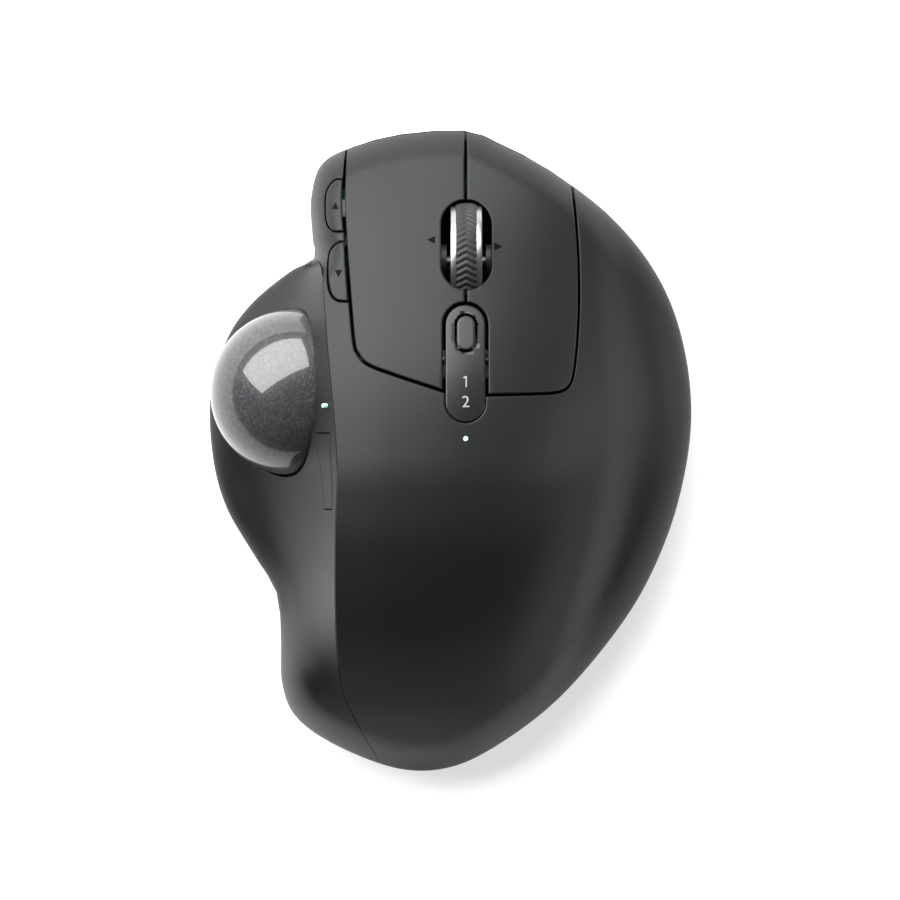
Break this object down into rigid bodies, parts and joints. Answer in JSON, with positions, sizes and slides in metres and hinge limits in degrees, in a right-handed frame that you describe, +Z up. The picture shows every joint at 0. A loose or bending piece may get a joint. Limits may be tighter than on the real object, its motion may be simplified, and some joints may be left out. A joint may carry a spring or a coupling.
{
  "type": "thumb trackball mouse",
  "caption": "Right-handed thumb trackball mouse with removable ball, tilting scroll wheel and magnetic tilt base.",
  "frame": {"origin": "on the desk, under the middle of the body's outline", "axes": "+Y to the button end, +X to the outer side (away from the thumb), +Z up"},
  "size_m": [0.0996, 0.1324, 0.0515],
  "materials": {
    "soft_shell": "soft-touch charcoal, faint fine grain",
    "thumb_side": "soft-touch charcoal, fine grain",
    "lower_case": "fine grained black plastic",
    "gloss_strip": "dark semi-gloss",
    "mode_key": "satin dark grey",
    "light_pipe": "translucent",
    "ball_pearl": "polished grey pearl with fine flecks",
    "ceramic": "polished white ceramic",
    "lens": "clear",
    "inner_plastic": "moulded black plastic",
    "rim_metal": "satin",
    "steel": "bright",
    "screw_steel": "dark plated",
    "plate_steel": "satin grey",
    "magnet": "nickel plated",
    "rubber": "matt",
    "board": "green solder resist",
    "chip": "matt epoxy",
    "switch": "moulded",
    "encoder": "moulded blue",
    "cell": "foil pouch",
    "port_metal": "stamped shell",
    "slider": "light grey"
  },
  "bodies": {
    "base": {"base_pad": "rubber", "base_plate": "plate_steel", "pivot_pins": "steel"},
    "body": {"pivot_brackets": "steel", "bracket_screws": "screw_steel", "bottom_shell": "lower_case", "body_magnets": "magnet", "top_shell": "soft_shell", "thumb_shell": "thumb_side", "key_pins": "steel", "status_strip": "gloss_strip", "digit_lights": "light_pipe", "status_light": "light_pipe", "precision_light": "light_pipe", "ball_cup": "inner_plastic", "ball_bearings": "ceramic", "sensor_lens": "lens", "ball_sensor": "chip", "sensor_board": "board", "cradle_posts": "steel", "cradle_springs": "steel", "main_board": "board", "main_chips": "chip", "key_board": "board", "click_switches": "switch", "side_board": "board", "side_switches": "switch", "precision_board": "board", "precision_switch": "switch", "light_board": "board", "mode_switch": "switch", "battery": "cell", "battery_tray": "inner_plastic", "charge_board": "board", "charge_receptacle": "port_metal", "power_switch": "switch", "case_screws": "screw_steel", "board_screws": "screw_steel"},
    "left_key": {"left_key": "soft_shell"},
    "right_key": {"right_key": "soft_shell"},
    "forward_button": {"forward_button": "soft_shell"},
    "back_button": {"back_button": "soft_shell"},
    "precision_button": {"precision_button": "thumb_side"},
    "mode_button": {"mode_button": "mode_key"},
    "ball": {"ball": "ball_pearl"},
    "cradle": {"wheel_cradle": "inner_plastic", "tilt_switches": "switch"},
    "yoke": {"wheel_yoke": "inner_plastic", "wheel_encoder": "encoder"},
    "wheel": {"wheel_hub": "inner_plastic", "wheel_rims": "rim_metal", "wheel_tyre": "rubber", "wheel_axle": "steel"},
    "power_slider": {"power_slider": "slider"}
  },
  "joints": [
    {"name": "body_tilt", "type": "hinge", "parent": "base", "child": "body", "pos_m": [0.02, 0, 0.005], "axis": [0, 1, 0], "range_deg": [0, 20]},
    {"name": "left_key_press", "type": "hinge", "parent": "body", "child": "left_key", "pos_m": [-0.01, 0.0185, 0.04046], "axis": [1, 0, 0], "range_deg": [-1.64, 0], "stiffness_Nm_per_rad": 0.12, "springref_deg": 0.57},
    {"name": "right_key_press", "type": "hinge", "parent": "body", "child": "right_key", "pos_m": [0.0155, 0.0185, 0.03545], "axis": [1, 0, 0], "range_deg": [-2.02, 0], "stiffness_Nm_per_rad": 0.12, "springref_deg": 0.57},
    {"name": "forward_press", "type": "slide", "parent": "body", "child": "forward_button", "axis": [0, 0, -1], "range_m": [0, 0.0006], "stiffness_N_per_m": 150, "springref_m": -0.0003},
    {"name": "back_press", "type": "slide", "parent": "body", "child": "back_button", "axis": [0, 0, -1], "range_m": [0, 0.0006], "stiffness_N_per_m": 150, "springref_m": -0.0003},
    {"name": "precision_press", "type": "slide", "parent": "body", "child": "precision_button", "axis": [1, 0, 0], "range_m": [0, 0.0006], "stiffness_N_per_m": 150, "springref_m": -0.0003},
    {"name": "mode_press", "type": "slide", "parent": "body", "child": "mode_button", "axis": [0, -0.3022, -0.9532], "range_m": [0, 0.0006], "stiffness_N_per_m": 150, "springref_m": -0.0003},
    {"name": "wheel_press", "type": "slide", "parent": "body", "child": "cradle", "axis": [0, 0, -1], "range_m": [0, 0.0008], "stiffness_N_per_m": 300, "springref_m": -0.0006, "deforming": ["cradle_springs"]},
    {"name": "wheel_tilt", "type": "hinge", "parent": "cradle", "child": "yoke", "pos_m": [0.0032, 0.03875, 0.0151], "axis": [0, 1, 0], "range_deg": [-4, 4], "stiffness_Nm_per_rad": 0.08},
    {"name": "wheel_spin", "type": "hinge", "parent": "yoke", "child": "wheel", "pos_m": [0.0032, 0.03875, 0.0287], "axis": [1, 0, 0], "continuous": true},
    {"name": "ball_roll", "type": "hinge", "parent": "body", "child": "ball", "pos_m": [-0.0321, 0.0122, 0.0247], "axis": [0, 1, 0], "continuous": true},
    {"name": "power_slide", "type": "slide", "parent": "body", "child": "power_slider", "axis": [1, 0, 0], "range_m": [0, 0.0026]}
  ]
}
